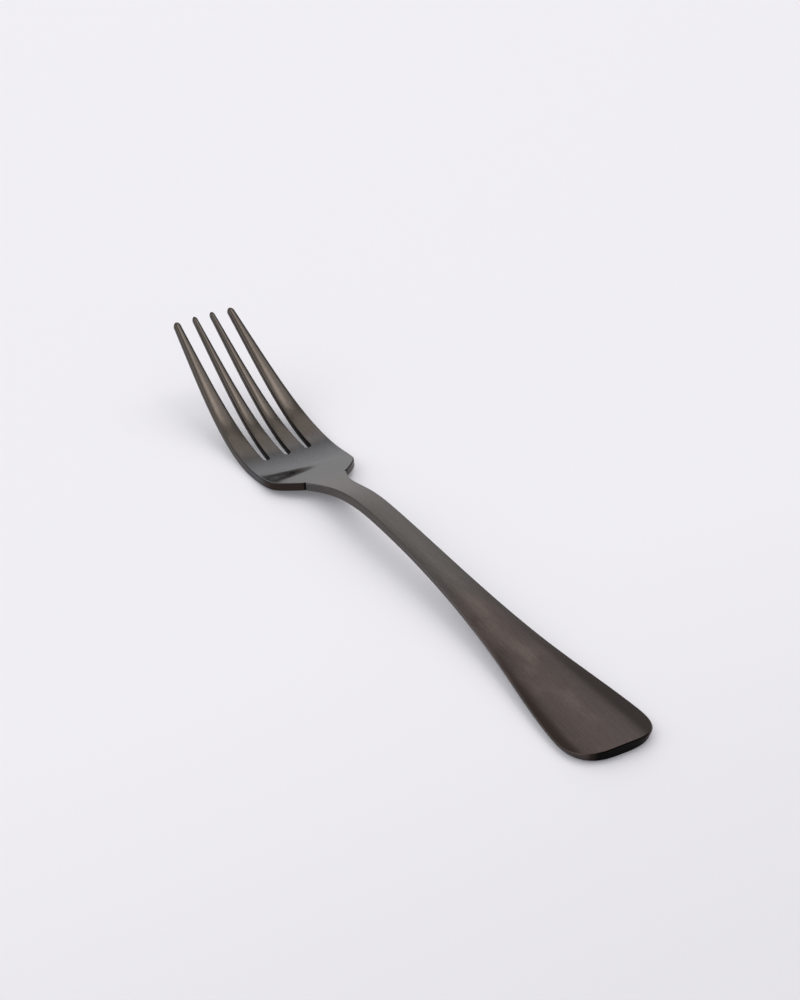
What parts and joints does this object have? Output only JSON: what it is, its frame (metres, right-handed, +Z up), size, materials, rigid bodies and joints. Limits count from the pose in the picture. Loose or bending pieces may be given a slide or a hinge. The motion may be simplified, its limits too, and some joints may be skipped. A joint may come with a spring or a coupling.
{
  "type": "dinner fork",
  "caption": "Dinner fork of black coated steel with a flared domed handle, a slim arched neck, slanted shoulders and tapering tines that curve up.",
  "frame": {"origin": "on the table, below the middle of the fork's length and on its centre line", "axes": "+Y along the fork from the handle end to the tine tips, +Z up from the table, +X to the right when the tines point away"},
  "size_m": [0.026, 0.2, 0.0227],
  "materials": {
    "black_steel": "satin black coating on stainless steel, a little glossier on the head"
  },
  "bodies": {
    "root": {"handle": "black_steel", "neck": "black_steel", "shoulders": "black_steel", "tine_far_left": "black_steel", "tine_mid_left": "black_steel", "tine_mid_right": "black_steel", "tine_far_right": "black_steel"}
  },
  "joints": []
}
